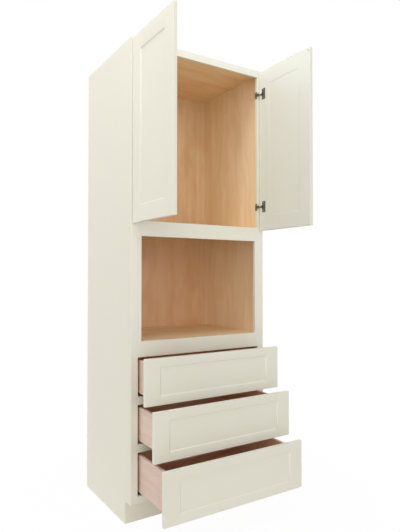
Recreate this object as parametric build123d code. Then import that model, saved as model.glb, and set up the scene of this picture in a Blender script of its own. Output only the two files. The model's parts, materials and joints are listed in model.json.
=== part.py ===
from build123d import *
import os

# Tall face-frame cabinet for a built-in oven: a two-door compartment on top, an open oven bay in the
# middle and three drawers below. All sizes are in millimetres.
#
# Frame: +X to the right seen from the front, +Y towards the wall, +Z up.
# Origin: on the floor, in the middle of the face that stands against the wall.
# The doors are modelled open and the drawers pulled out, each by its own named amount.

# Case
CABINET_WIDTH = 838.2
CABINET_DEPTH = 609.6
CABINET_HEIGHT = 2438.4
SIDE_THICKNESS = 12.7
BACK_THICKNESS = 9.5
TOP_THICKNESS = 12.7
FLOOR_THICKNESS = 12.7
UPPER_DECK_THICKNESS = 12.7
OVEN_DECK_THICKNESS = 19.05
CLEAT_WIDTH = 19.05
CLEAT_HEIGHT = 38.1
TOE_HEIGHT = 114.3
TOE_RECESS = 66.7
TOE_BOARD_THICKNESS = 12.7

# Face frame, from the floor up
FRAME_THICKNESS = 19.05
FRAME_STILE_WIDTH = 38.1
BOTTOM_RAIL_HEIGHT = 38.1
BOTTOM_DRAWER_OPENING = 213.95
MIDDLE_DRAWER_OPENING = 194.95
TOP_DRAWER_OPENING = 194.95
DRAWER_RAIL_HEIGHT = 40.0
OVEN_SILL_HEIGHT = 78.1
OVEN_OPENING_HEIGHT = 528.0
OVEN_FILLER_WIDTH = 19.05
OVEN_HEAD_HEIGHT = 77.0
TOP_RAIL_HEIGHT = 38.1

# Five-piece doors and drawer fronts
FRONT_THICKNESS = 19.05
FRONT_STANDOFF = 3.0
SIDE_REVEAL = 9.5
DOOR_TOP_REVEAL = 9.5
DOOR_SPACING = 3.2
DRAWER_FRONT_SPACING = 4.4
DOOR_MEMBER_WIDTH = 80.0
DRAWER_STILE_WIDTH = 80.0
DRAWER_RAIL_WIDTH = 41.0
BEVEL_WIDTH = 6.5
PANEL_RECESS = 4.5
PANEL_THICKNESS = 12.7
PANEL_GROOVE_DEPTH = 8.0
PANEL_PLAY = 1.0

# Door hinges: a cup in the door, an arm on the stile's inner edge, and one pin
DOOR_OPEN_DEGREES = 90.0
HINGE_FROM_DOOR_HEAD = 133.0
HINGE_FROM_DOOR_FOOT = 138.0
CUP_RADIUS = 17.5
CUP_EDGE_DISTANCE = 16.0
CUP_FLOOR = 1.0
CUP_PLAY = 0.1
NOSE_EDGE_DISTANCE = 2.5
NOSE_WALL = 1.0
PIN_RADIUS = 1.5
PIN_FROM_EDGE = 7.0
PIN_DEPTH = 8.0
PIN_PLAY = 0.05
EYE_WALL = 1.2
ARM_THICKNESS = 2.0
ARM_HEIGHT = 6.0
ARM_PLAY = 0.4
ARM_BODY_HEIGHT = 16.0
ARM_BODY_LENGTH = 7.6
ARM_BODY_THICKNESS = 4.0
ARM_BODY_SLOT_START = 20.5
HINGE_PLATE_THICKNESS = 2.4
HINGE_PLATE_HEIGHT = 38.0
HINGE_PLATE_INSET = 1.0
FLANGE_START = 23.0
FLANGE_WIDTH = 29.0
FLANGE_HEIGHT = 64.0
FLANGE_THICKNESS = 1.0
FLANGE_CORNER = 5.0
HINGE_SCREW_LENGTH = 13.0
PLATE_SCREW_SPACING = 24.0
FLANGE_SCREW_SPACING = 48.0
BUMPER_RADIUS = 4.0
BUMPER_THICKNESS = 2.6
BUMPER_FROM_EDGE = 12.0

# Wood screws
SCREW_RADIUS = 1.75
SCREW_HEAD_RADIUS = 3.5
SCREW_HEAD_HEIGHT = 1.6
SCREW_PLAY = 0.05

# Drawer boxes
BOX_LENGTH = 533.4
BOX_SIDE_THICKNESS = 15.9
BOX_END_THICKNESS = 15.9
BOX_SIDE_CLEARANCE = 10.5
BOX_BOTTOM_CLEARANCE = 16.0
BOX_TOP_CLEARANCE = 15.45
BOX_FLOOR_THICKNESS = 6.35
BOX_FLOOR_RECESS = 12.7
BOX_GROOVE_DEPTH = 6.0
BOX_FLOOR_PLAY = 0.5
FRONT_SCREW_LENGTH = 30.0
FRONT_SCREW_FROM_SIDE = 15.0
FRONT_SCREW_FROM_RIM = 35.0

# Undermount slides: a channel in the cabinet, a link between, and a runner under the drawer
SLIDE_WIDTH = 34.0
SLIDE_GAUGE = 1.5
SLIDE_PLAY = 0.3
SLIDE_CHANNEL_HEIGHT = 11.0
SLIDE_LIP = 7.0
SLIDE_SIDE_GAP = 2.0
LINK_WEB = 3.0
LINK_LENGTH = 480.0
LINK_FRONT_GAP = 2.0
CHANNEL_LENGTH = 533.0
CHANNEL_INSET = 4.0
BRACKET_WALL = 3.0
BRACKET_GRIP = 40.0
BRACKET_HEIGHT = 30.0
CATCH_LENGTH = 20.0
HOOK_THICKNESS = 2.0
HOOK_WIDTH = 12.0
HOOK_PIN_RADIUS = 3.0
HOOK_PIN_LENGTH = 9.0
HOOK_PIN_RISE = 7.0
SLIDE_SCREW_LENGTH = 9.5
SLIDE_SCREW_FROM_END = 8.0
BRACKET_SCREW_RISE = 22.0
BRACKET_SCREW_SPACING = 24.0

# How far the doors and the drawer fronts lap the frame below their openings, and the top front above
DOOR_LAP = 16.5
TOP_FRONT_LAP = 18.8
MIDDLE_FRONT_LAP = 22.2
BOTTOM_FRONT_LAP = 15.6
TOP_FRONT_HEAD_LAP = 11.6

# How far each drawer stands open
TOP_DRAWER_PULL = 117.0
MIDDLE_DRAWER_PULL = 208.0
BOTTOM_DRAWER_PULL = 303.5

# Planes and levels that follow from the sizes above
HALF_WIDTH = CABINET_WIDTH / 2
INNER_HALF = HALF_WIDTH - SIDE_THICKNESS
OPENING_HALF = HALF_WIDTH - FRAME_STILE_WIDTH
FRAME_FRONT = -CABINET_DEPTH
FRAME_REAR = FRAME_FRONT + FRAME_THICKNESS
BACK_INSIDE = -BACK_THICKNESS
TOE_FACE = FRAME_FRONT + TOE_RECESS
FRONTS_BACK = FRAME_FRONT - FRONT_STANDOFF

BOTTOM_OPENING_FOOT = TOE_HEIGHT + BOTTOM_RAIL_HEIGHT
BOTTOM_OPENING_HEAD = BOTTOM_OPENING_FOOT + BOTTOM_DRAWER_OPENING
MIDDLE_OPENING_FOOT = BOTTOM_OPENING_HEAD + DRAWER_RAIL_HEIGHT
MIDDLE_OPENING_HEAD = MIDDLE_OPENING_FOOT + MIDDLE_DRAWER_OPENING
TOP_OPENING_FOOT = MIDDLE_OPENING_HEAD + DRAWER_RAIL_HEIGHT
TOP_OPENING_HEAD = TOP_OPENING_FOOT + TOP_DRAWER_OPENING
OVEN_FOOT = TOP_OPENING_HEAD + OVEN_SILL_HEIGHT
OVEN_HEAD = OVEN_FOOT + OVEN_OPENING_HEIGHT
UPPER_FOOT = OVEN_HEAD + OVEN_HEAD_HEIGHT
UPPER_HEAD = CABINET_HEIGHT - TOP_RAIL_HEIGHT
OPENING_FEET = (BOTTOM_OPENING_FOOT, MIDDLE_OPENING_FOOT, TOP_OPENING_FOOT)

DOOR_WIDTH = (CABINET_WIDTH - 2 * SIDE_REVEAL - DOOR_SPACING) / 2
DOOR_FOOT = UPPER_FOOT - DOOR_LAP
DOOR_HEAD = CABINET_HEIGHT - DOOR_TOP_REVEAL
DOOR_EDGE = -HALF_WIDTH + SIDE_REVEAL
DRAWER_FRONT_WIDTH = CABINET_WIDTH - 2 * SIDE_REVEAL
TOP_FRONT_FOOT = TOP_OPENING_FOOT - TOP_FRONT_LAP
MIDDLE_FRONT_FOOT = MIDDLE_OPENING_FOOT - MIDDLE_FRONT_LAP
BOTTOM_FRONT_FOOT = BOTTOM_OPENING_FOOT - BOTTOM_FRONT_LAP
TOP_FRONT_HEAD = TOP_OPENING_HEAD + TOP_FRONT_HEAD_LAP
MIDDLE_FRONT_HEAD = TOP_FRONT_FOOT - DRAWER_FRONT_SPACING
BOTTOM_FRONT_HEAD = MIDDLE_FRONT_FOOT - DRAWER_FRONT_SPACING

PIN_X = DOOR_EDGE + PIN_FROM_EDGE
PIN_Y = FRONTS_BACK - PIN_DEPTH
EYE_RADIUS = PIN_RADIUS + EYE_WALL
SLOT_DEPTH = PIN_DEPTH + EYE_RADIUS + ARM_PLAY
CUP_DEPTH = SLOT_DEPTH + CUP_FLOOR
CUP_X = DOOR_EDGE + CUP_EDGE_DISTANCE + CUP_RADIUS
LEG_INNER = -OPENING_HALF + ARM_PLAY
LEG_OUTER = LEG_INNER + ARM_THICKNESS
PIN_LENGTH = ARM_HEIGHT + 2 * (ARM_PLAY + NOSE_WALL)
HINGE_LEVELS = (DOOR_FOOT + HINGE_FROM_DOOR_FOOT, DOOR_HEAD - HINGE_FROM_DOOR_HEAD)

BOX_HALF = OPENING_HALF - BOX_SIDE_CLEARANCE
BOX_INNER_HALF = BOX_HALF - BOX_SIDE_THICKNESS
BOX_FRONT_INSIDE = FRONTS_BACK + BOX_END_THICKNESS
BOX_REAR = FRONTS_BACK + BOX_LENGTH
SLIDE_X = -BOX_INNER_HALF + SLIDE_SIDE_GAP + SLIDE_WIDTH / 2
SLIDE_STACK = BOX_BOTTOM_CLEARANCE + BOX_FLOOR_RECESS
RUNNER_FRONT = BOX_FRONT_INSIDE + CATCH_LENGTH
LINK_FRONT = RUNNER_FRONT + LINK_FRONT_GAP
CHANNEL_FRONT = FRAME_FRONT + CHANNEL_INSET
CHANNEL_REAR = CHANNEL_FRONT + CHANNEL_LENGTH


def block(x, y, z):
    """Box between two limits on each axis."""
    return Pos(sum(x) / 2, sum(y) / 2, sum(z) / 2) * Box(x[1] - x[0], y[1] - y[0], z[1] - z[0])


def prism(points, travel):
    """Solid swept in a straight line by the closed outline through the points."""
    return extrude(make_face(Polyline(*points, close=True)), amount=travel.length, dir=travel)


def rod(radius, start, end):
    """Round bar between two points."""
    axis = Vector(*end) - Vector(*start)
    return extrude(Plane(origin=start, z_dir=axis) * Circle(radius), amount=axis.length)


def other_side(piece):
    """The same piece on the cabinet's right-hand side."""
    return mirror(piece, about=Plane.YZ)


def both_sides(pieces):
    """Pieces of the left-hand side, then their mirror images."""
    return [*pieces, *[other_side(piece) for piece in pieces]]


def save(node, *pieces):
    """One file for one named piece, or for a set of like pieces."""
    shape = pieces[0] if len(pieces) == 1 else Compound(children=list(pieces))
    export_step(shape, f"parts/{node}.step")


def screw(seat, direction, length):
    """Wood screw whose head stands on a seat and whose shank goes in along a direction."""
    way = Vector(*direction)
    foot = Vector(*seat)
    head = rod(SCREW_HEAD_RADIUS, foot - way * SCREW_HEAD_HEIGHT, foot)
    return head + rod(SCREW_RADIUS, foot, foot + way * length)


def screw_hole(seat, direction, length):
    """Hole for a screw's shank, through what it holds and into the wood."""
    way = Vector(*direction)
    foot = Vector(*seat)
    return rod(SCREW_RADIUS + SCREW_PLAY, foot, foot + way * length)


def countersink(seat, play):
    """Cone through the slide's sheet metal, down to the shank of a screw that stands upright."""
    narrow = SCREW_RADIUS + play
    wide = narrow + SLIDE_GAUGE
    return Pos(*seat) * Cone(narrow, wide, SLIDE_GAUGE, align=(Align.CENTER, Align.CENTER, Align.MIN))


# Case of plywood panels

def make_side():
    """Left side panel, notched at the foot for the toe space."""
    outline = [
        (-HALF_WIDTH, 0, 0),
        (-HALF_WIDTH, TOE_FACE, 0),
        (-HALF_WIDTH, TOE_FACE, TOE_HEIGHT),
        (-HALF_WIDTH, FRAME_REAR, TOE_HEIGHT),
        (-HALF_WIDTH, FRAME_REAR, CABINET_HEIGHT),
        (-HALF_WIDTH, 0, CABINET_HEIGHT),
    ]
    return prism(outline, Vector(SIDE_THICKNESS, 0, 0))


def make_back():
    """Back panel, with pilot holes for the slides' rear sockets."""
    back = block((-INNER_HALF, INNER_HALF), (BACK_INSIDE, 0), (0, CABINET_HEIGHT))
    for foot in OPENING_FEET:
        for seat in bracket_screw_seats(foot):
            hole = screw_hole(seat, (0, 1, 0), SLIDE_SCREW_LENGTH)
            back = back - hole - other_side(hole)
    return back


def deck(top, thickness):
    """Level panel between the sides, from the face frame to the back."""
    inside = (-INNER_HALF, INNER_HALF)
    return block(inside, (FRAME_REAR, BACK_INSIDE), (top - thickness, top))


def make_case():
    inside = (-INNER_HALF, INNER_HALF)
    side = make_side()
    save("side_panel_left", side)
    save("side_panel_right", other_side(side))
    save("back_panel", make_back())
    save("top_panel", deck(CABINET_HEIGHT, TOP_THICKNESS))
    save("upper_deck", deck(UPPER_FOOT, UPPER_DECK_THICKNESS))
    save("oven_deck", deck(OVEN_FOOT, OVEN_DECK_THICKNESS))
    save("bottom_panel", deck(TOE_HEIGHT + FLOOR_THICKNESS, FLOOR_THICKNESS))
    toe_board = block(inside, (TOE_FACE, TOE_FACE + TOE_BOARD_THICKNESS), (0, TOE_HEIGHT))
    save("toe_board", toe_board)

    cleat_top = OVEN_FOOT - OVEN_DECK_THICKNESS
    level = (cleat_top - CLEAT_HEIGHT, cleat_top)
    side_cleat = block((-INNER_HALF, -INNER_HALF + CLEAT_WIDTH), (FRAME_REAR, BACK_INSIDE), level)
    between = (-INNER_HALF + CLEAT_WIDTH, INNER_HALF - CLEAT_WIDTH)
    back_cleat = block(between, (BACK_INSIDE - CLEAT_WIDTH, BACK_INSIDE), level)
    save("oven_deck_cleats", *both_sides([side_cleat]), back_cleat)


# Face frame

def rail(foot, head):
    """Level member of the face frame, between the stiles."""
    return block((-OPENING_HALF, OPENING_HALF), (FRAME_FRONT, FRAME_REAR), (foot, head))


def drawer_rail(foot, head):
    """Rail under a drawer opening, with pilot holes for the front ends of the slides."""
    hole = screw_hole(channel_screw_seat(head), (0, 0, -1), SLIDE_SCREW_LENGTH)
    return rail(foot, head) - hole - other_side(hole)


def plate_screw_seats(level):
    """Where the screws of one left-hand hinge plate sit, at one hinge level."""
    face = -OPENING_HALF + HINGE_PLATE_THICKNESS
    middle = (FRAME_FRONT + FRAME_REAR) / 2
    half = PLATE_SCREW_SPACING / 2
    return [(face, middle, level - half), (face, middle, level + half)]


def make_frame_stile():
    """Left stile of the face frame, with pilot holes for the hinge plates."""
    stile = block((-HALF_WIDTH, -OPENING_HALF), (FRAME_FRONT, FRAME_REAR), (TOE_HEIGHT, CABINET_HEIGHT))
    for level in HINGE_LEVELS:
        for seat in plate_screw_seats(level):
            stile -= screw_hole(seat, (-1, 0, 0), HINGE_SCREW_LENGTH)
    return stile


def make_face_frame():
    save("frame_stiles", *both_sides([make_frame_stile()]))
    save(
        "frame_drawer_rails",
        drawer_rail(TOE_HEIGHT, BOTTOM_OPENING_FOOT),
        drawer_rail(BOTTOM_OPENING_HEAD, MIDDLE_OPENING_FOOT),
        drawer_rail(MIDDLE_OPENING_HEAD, TOP_OPENING_FOOT),
    )
    save("frame_oven_sill", rail(TOP_OPENING_HEAD, OVEN_FOOT))
    save("frame_oven_head", rail(OVEN_HEAD, UPPER_FOOT))
    save("frame_top_rail", rail(UPPER_HEAD, CABINET_HEIGHT))
    filler_width = (-OPENING_HALF, -OPENING_HALF + OVEN_FILLER_WIDTH)
    filler = block(filler_width, (FRAME_FRONT, FRAME_REAR), (OVEN_FOOT, OVEN_HEAD))
    save("oven_fillers", *both_sides([filler]))


# Five-piece fronts: the outer face looks towards -Y and the lower left outer corner is at the origin

def member_section(face_width):
    """Outline (across, depth) of a frame member: bevelled to the inner edge, grooved for the panel."""
    nose = face_width + BEVEL_WIDTH
    groove_foot = nose - PANEL_GROOVE_DEPTH
    panel_back = PANEL_RECESS + PANEL_THICKNESS
    return [
        (0, 0),
        (face_width, 0),
        (nose, PANEL_RECESS),
        (groove_foot, PANEL_RECESS),
        (groove_foot, panel_back),
        (nose, panel_back),
        (face_width, FRONT_THICKNESS),
        (0, FRONT_THICKNESS),
    ]


def five_piece(width, height, stile_width, rail_width):
    """Left stile, right stile, bottom rail, top rail and panel of a door or drawer front."""
    stile_outline = member_section(stile_width)
    left = prism([(across, depth, 0) for across, depth in stile_outline], Vector(0, 0, height))
    right = prism([(width - across, depth, 0) for across, depth in stile_outline], Vector(0, 0, height))

    # the rails start at the stiles' faces and are coped over the stiles' bevels
    run = Vector(width - 2 * stile_width, 0, 0)
    rail_outline = member_section(rail_width)
    bottom = prism([(stile_width, depth, across) for across, depth in rail_outline], run)
    top = prism([(stile_width, depth, height - across) for across, depth in rail_outline], run)
    bottom = bottom - left - right
    top = top - left - right

    reach = BEVEL_WIDTH - PANEL_GROOVE_DEPTH + PANEL_PLAY
    panel = block(
        (stile_width + reach, width - stile_width - reach),
        (PANEL_RECESS, PANEL_RECESS + PANEL_THICKNESS),
        (rail_width + reach, height - rail_width - reach),
    )
    return left, right, bottom, top, panel


# Hinges, drawn for the left door while it is shut

def make_hinge_arm(level):
    """Plate on the stile's inner edge, with the arm that reaches round the stile to the pin."""
    plate = block(
        (-OPENING_HALF, -OPENING_HALF + HINGE_PLATE_THICKNESS),
        (FRAME_FRONT + HINGE_PLATE_INSET, FRAME_REAR - HINGE_PLATE_INSET),
        (level - HINGE_PLATE_HEIGHT / 2, level + HINGE_PLATE_HEIGHT / 2),
    )
    height = (level - ARM_HEIGHT / 2, level + ARM_HEIGHT / 2)
    body_height = (level - ARM_BODY_HEIGHT / 2, level + ARM_BODY_HEIGHT / 2)
    front = PIN_Y - ARM_THICKNESS / 2
    neck = block((PIN_X, LEG_OUTER), (front, front + ARM_THICKNESS), height)
    body = block((LEG_OUTER - ARM_BODY_LENGTH, LEG_OUTER), (front, front + ARM_BODY_THICKNESS), body_height)
    leg = block((LEG_INNER, LEG_OUTER), (front, FRAME_REAR - HINGE_PLATE_INSET), body_height)
    eye = rod(EYE_RADIUS, (PIN_X, PIN_Y, height[0]), (PIN_X, PIN_Y, height[1]))
    arm = plate + neck + body + leg + eye
    arm -= rod(PIN_RADIUS + PIN_PLAY, (PIN_X, PIN_Y, height[0]), (PIN_X, PIN_Y, height[1]))
    for seat in plate_screw_seats(level):
        arm -= screw_hole(seat, (-1, 0, 0), HINGE_SCREW_LENGTH)
    return arm


def flange_screw_seats(level):
    """Where the screws of one hinge cup's flange sit, at one hinge level."""
    across = DOOR_EDGE + FLANGE_START + FLANGE_WIDTH / 2
    face = FRONTS_BACK + FLANGE_THICKNESS
    half = FLANGE_SCREW_SPACING / 2
    return [(across, face, level - half), (across, face, level + half)]


def nose(level, play):
    """Block that reaches from the cup towards the door's edge, where the pin lies."""
    half = PIN_LENGTH / 2 + play
    return block(
        (DOOR_EDGE + NOSE_EDGE_DISTANCE - play, CUP_X),
        (FRONTS_BACK - CUP_DEPTH - play, FRONTS_BACK),
        (level - half, level + half),
    )


def make_hinge_cup(level):
    """Cup let into the door's back, with its nose for the pin, its flange and the slot for the arm."""
    cup = rod(CUP_RADIUS, (CUP_X, FRONTS_BACK, level), (CUP_X, FRONTS_BACK - CUP_DEPTH, level))
    cup += nose(level, 0)
    across = DOOR_EDGE + FLANGE_START + FLANGE_WIDTH / 2
    flange_plane = Plane(origin=(across, FRONTS_BACK, level), x_dir=(1, 0, 0), z_dir=(0, 1, 0))
    flange = flange_plane * RectangleRounded(FLANGE_WIDTH, FLANGE_HEIGHT, FLANGE_CORNER)
    cup += extrude(flange, amount=FLANGE_THICKNESS)

    slot_starts = (NOSE_EDGE_DISTANCE + NOSE_WALL, ARM_BODY_SLOT_START)
    for start, arm_height in zip(slot_starts, (ARM_HEIGHT, ARM_BODY_HEIGHT)):
        half_slot = arm_height / 2 + ARM_PLAY
        cup -= block(
            (DOOR_EDGE + start, LEG_OUTER + ARM_THICKNESS),
            (FRONTS_BACK - SLOT_DEPTH, FRONTS_BACK + FLANGE_THICKNESS),
            (level - half_slot, level + half_slot),
        )
    cup -= pin_rod(level, PIN_RADIUS + SCREW_PLAY)
    for seat in flange_screw_seats(level):
        cup -= screw_hole(seat, (0, -1, 0), HINGE_SCREW_LENGTH)
    return cup


def pin_rod(level, radius):
    """Round bar where a hinge's pin lies."""
    half = PIN_LENGTH / 2
    return rod(radius, (PIN_X, PIN_Y, level - half), (PIN_X, PIN_Y, level + half))


def make_cabinet_screws():
    """Screws of the hinge arms and of the slides, all in the cabinet."""
    screws = []
    for level in HINGE_LEVELS:
        screws += [screw(seat, (-1, 0, 0), HINGE_SCREW_LENGTH) for seat in plate_screw_seats(level)]
    for foot in OPENING_FEET:
        screws.append(make_channel_screw(foot))
        screws += [screw(seat, (0, 1, 0), SLIDE_SCREW_LENGTH) for seat in bracket_screw_seats(foot)]
    save("cabinet_screws", *both_sides(screws))


# Doors

def bored_for_hinges(stile):
    """Hinge stile with its cup borings and the pilot holes of the flange screws."""
    for level in HINGE_LEVELS:
        mouth = (CUP_X, FRONTS_BACK, level)
        foot = (CUP_X, FRONTS_BACK - CUP_DEPTH - CUP_PLAY, level)
        stile -= rod(CUP_RADIUS + CUP_PLAY, mouth, foot) + nose(level, CUP_PLAY)
        for seat in flange_screw_seats(level):
            stile -= screw_hole(seat, (0, -1, 0), HINGE_SCREW_LENGTH)
    return stile


def make_bumpers():
    """Soft pads on the door's back, near the free edge, that meet the rails above and below."""
    across = DOOR_EDGE + DOOR_WIDTH - BUMPER_FROM_EDGE
    levels = ((DOOR_FOOT + UPPER_FOOT) / 2, (UPPER_HEAD + DOOR_HEAD) / 2)
    back = FRONTS_BACK
    return [rod(BUMPER_RADIUS, (across, back, z), (across, back + BUMPER_THICKNESS, z)) for z in levels]


def open_door(piece):
    """Swing a piece of the shut left door to the angle at which the door stands open."""
    hinge_line = Axis((PIN_X, PIN_Y, 0), (0, 0, 1))
    return piece.rotate(hinge_line, -DOOR_OPEN_DEGREES)


def make_doors():
    place = Pos(DOOR_EDGE, FRONTS_BACK - FRONT_THICKNESS, DOOR_FOOT)
    members = five_piece(DOOR_WIDTH, DOOR_HEAD - DOOR_FOOT, DOOR_MEMBER_WIDTH, DOOR_MEMBER_WIDTH)
    hinge_stile, free_stile, bottom, top, panel = [place * member for member in members]
    hinge_stile = bored_for_hinges(hinge_stile)
    cups = []
    pins = []
    screws = []
    for level in HINGE_LEVELS:
        cups.append(make_hinge_cup(level))
        pins.append(pin_rod(level, PIN_RADIUS))
        screws += [screw(seat, (0, -1, 0), HINGE_SCREW_LENGTH) for seat in flange_screw_seats(level)]
    door = {
        "stiles": [hinge_stile, free_stile],
        "rails": [bottom, top],
        "panel": [panel],
        "hinge_cups": cups,
        "hinge_pins": pins,
        "hinge_screws": screws,
        "bumpers": make_bumpers(),
    }
    for name, pieces in door.items():
        opened = [open_door(piece) for piece in pieces]
        save(f"door_left_{name}", *opened)
        save(f"door_right_{name}", *[other_side(piece) for piece in opened])


# Drawer slides, drawn for the left-hand side with the drawer shut

def channel_section(foot):
    """Outline (x, z) of a slide channel that opens upwards and whose lips turn inwards."""
    half = SLIDE_WIDTH / 2
    inner = half - SLIDE_GAUGE
    lip = inner - SLIDE_LIP
    head = foot + SLIDE_CHANNEL_HEIGHT
    right = [
        (half, foot),
        (half, head),
        (lip, head),
        (lip, head - SLIDE_GAUGE),
        (inner, head - SLIDE_GAUGE),
        (inner, foot + SLIDE_GAUGE),
    ]
    left = [(-x, z) for x, z in reversed(right)]
    return right + left


def link_section(foot):
    """Outline (x, z) of the link: an I whose flanges turn back, held by the lips above and below."""
    half = SLIDE_WIDTH / 2 - SLIDE_GAUGE - SLIDE_PLAY
    inner = half - SLIDE_GAUGE
    web = LINK_WEB / 2
    low = foot + SLIDE_GAUGE + SLIDE_PLAY
    return_head = foot + SLIDE_CHANNEL_HEIGHT - SLIDE_GAUGE - SLIDE_PLAY
    flange_top = low + SLIDE_GAUGE
    lower_right = [
        (half, low),
        (half, return_head),
        (inner, return_head),
        (inner, flange_top),
        (web, flange_top),
    ]
    mirror_level = 2 * foot + SLIDE_STACK
    upper_right = [(x, mirror_level - z) for x, z in reversed(lower_right)]
    right = lower_right + upper_right
    left = [(-x, z) for x, z in reversed(right)]
    return right + left


def along_slide(section, front, rear):
    """Solid of a slide section between two depths."""
    points = [(SLIDE_X + x, front, z) for x, z in section]
    return prism(points, Vector(0, rear - front, 0))


def make_runner(foot):
    """Drawer member: an upturned channel, with the hook that pins it to the box's back."""
    section = [(x, 2 * foot + SLIDE_STACK - z) for x, z in channel_section(foot)]
    hook_rear = BOX_REAR + HOOK_THICKNESS
    runner = along_slide(section, RUNNER_FRONT, hook_rear)
    floor_top = foot + SLIDE_STACK + BOX_FLOOR_THICKNESS
    pin_level = floor_top + HOOK_PIN_RISE
    runner += block(
        (SLIDE_X - HOOK_WIDTH / 2, SLIDE_X + HOOK_WIDTH / 2),
        (BOX_REAR, hook_rear),
        (foot + SLIDE_STACK - SLIDE_GAUGE, pin_level + HOOK_PIN_RADIUS + SLIDE_GAUGE),
    )
    pin_end = (SLIDE_X, BOX_REAR - HOOK_PIN_LENGTH, pin_level)
    return runner + rod(HOOK_PIN_RADIUS, (SLIDE_X, hook_rear, pin_level), pin_end)


def channel_screw_seat(foot):
    """Where the screw at the front end of the left channel enters the rail."""
    return SLIDE_X, CHANNEL_FRONT + SLIDE_SCREW_FROM_END, foot


def make_channel(foot):
    """Cabinet member: a channel whose front end is screwed down on the rail."""
    channel = along_slide(channel_section(foot), CHANNEL_FRONT, CHANNEL_REAR)
    return channel - countersink(channel_screw_seat(foot), SCREW_PLAY)


def make_channel_screw(foot):
    """Countersunk screw, level with the channel's floor."""
    seat = Vector(*channel_screw_seat(foot))
    shank = rod(SCREW_RADIUS, seat, seat - Vector(0, 0, SLIDE_SCREW_LENGTH))
    return shank + countersink(channel_screw_seat(foot), 0)


def make_catch(foot):
    """Catch that holds the runner's front end under the drawer's floor."""
    half = SLIDE_WIDTH / 2
    head = foot + SLIDE_STACK
    return block(
        (SLIDE_X - half, SLIDE_X + half),
        (BOX_FRONT_INSIDE, RUNNER_FRONT),
        (head - SLIDE_CHANNEL_HEIGHT, head),
    )


def bracket_screw_seats(foot):
    """Where the screws of one left-hand rear socket sit."""
    face = BACK_INSIDE - BRACKET_WALL
    level = foot + BRACKET_SCREW_RISE
    half = BRACKET_SCREW_SPACING / 2
    return [(SLIDE_X - half, face, level), (SLIDE_X + half, face, level)]


def make_bracket(foot):
    """Socket on the cabinet's back that carries the channel's rear end."""
    half = SLIDE_WIDTH / 2 + SLIDE_PLAY
    outer = half + BRACKET_WALL
    front = CHANNEL_REAR - BRACKET_GRIP
    shelf = block((SLIDE_X - outer, SLIDE_X + outer), (front, BACK_INSIDE), (foot - BRACKET_WALL, foot))
    plate = block(
        (SLIDE_X - outer, SLIDE_X + outer),
        (BACK_INSIDE - BRACKET_WALL, BACK_INSIDE),
        (foot - BRACKET_WALL, foot + BRACKET_HEIGHT),
    )
    cheek_level = (foot, foot + SLIDE_CHANNEL_HEIGHT)
    left_cheek = block((SLIDE_X - outer, SLIDE_X - half), (front, BACK_INSIDE), cheek_level)
    right_cheek = block((SLIDE_X + half, SLIDE_X + outer), (front, BACK_INSIDE), cheek_level)
    bracket = shelf + plate + left_cheek + right_cheek
    for seat in bracket_screw_seats(foot):
        bracket -= screw_hole(seat, (0, 1, 0), SLIDE_SCREW_LENGTH)
    return bracket


# Drawers

def front_screw_seats(foot, head):
    """Where the screws sit that hold a front to its box, on the inside at the left."""
    across = -BOX_INNER_HALF + FRONT_SCREW_FROM_SIDE
    levels = (foot + FRONT_SCREW_FROM_RIM, head - FRONT_SCREW_FROM_RIM)
    return [(across, BOX_FRONT_INSIDE, level) for level in levels]


def make_box(foot, head):
    """Left side, front and back, and floor of a drawer box that stands shut."""
    floor_level = (foot + BOX_FLOOR_RECESS, foot + BOX_FLOOR_RECESS + BOX_FLOOR_THICKNESS)
    side = block((-BOX_HALF, -BOX_INNER_HALF), (FRONTS_BACK, BOX_REAR), (foot, head))
    side_groove = (-BOX_INNER_HALF - BOX_GROOVE_DEPTH, -BOX_INNER_HALF)
    side -= block(side_groove, (FRONTS_BACK, BOX_REAR), floor_level)

    inside = (-BOX_INNER_HALF, BOX_INNER_HALF)
    front = block(inside, (FRONTS_BACK, BOX_FRONT_INSIDE), (foot, head))
    front -= block(inside, (BOX_FRONT_INSIDE - BOX_GROOVE_DEPTH, BOX_FRONT_INSIDE), floor_level)
    back = block(inside, (BOX_REAR - BOX_END_THICKNESS, BOX_REAR), (floor_level[1], head))
    hook_hole = rod(
        HOOK_PIN_RADIUS + PIN_PLAY,
        (SLIDE_X, BOX_REAR, floor_level[1] + HOOK_PIN_RISE),
        (SLIDE_X, BOX_REAR - HOOK_PIN_LENGTH - HOOK_THICKNESS, floor_level[1] + HOOK_PIN_RISE),
    )
    back = back - hook_hole - other_side(hook_hole)

    reach = BOX_GROOVE_DEPTH - BOX_FLOOR_PLAY
    floor = block(
        (-BOX_INNER_HALF - reach, BOX_INNER_HALF + reach),
        (BOX_FRONT_INSIDE - reach, BOX_REAR),
        floor_level,
    )
    return side, front, back, floor


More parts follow.
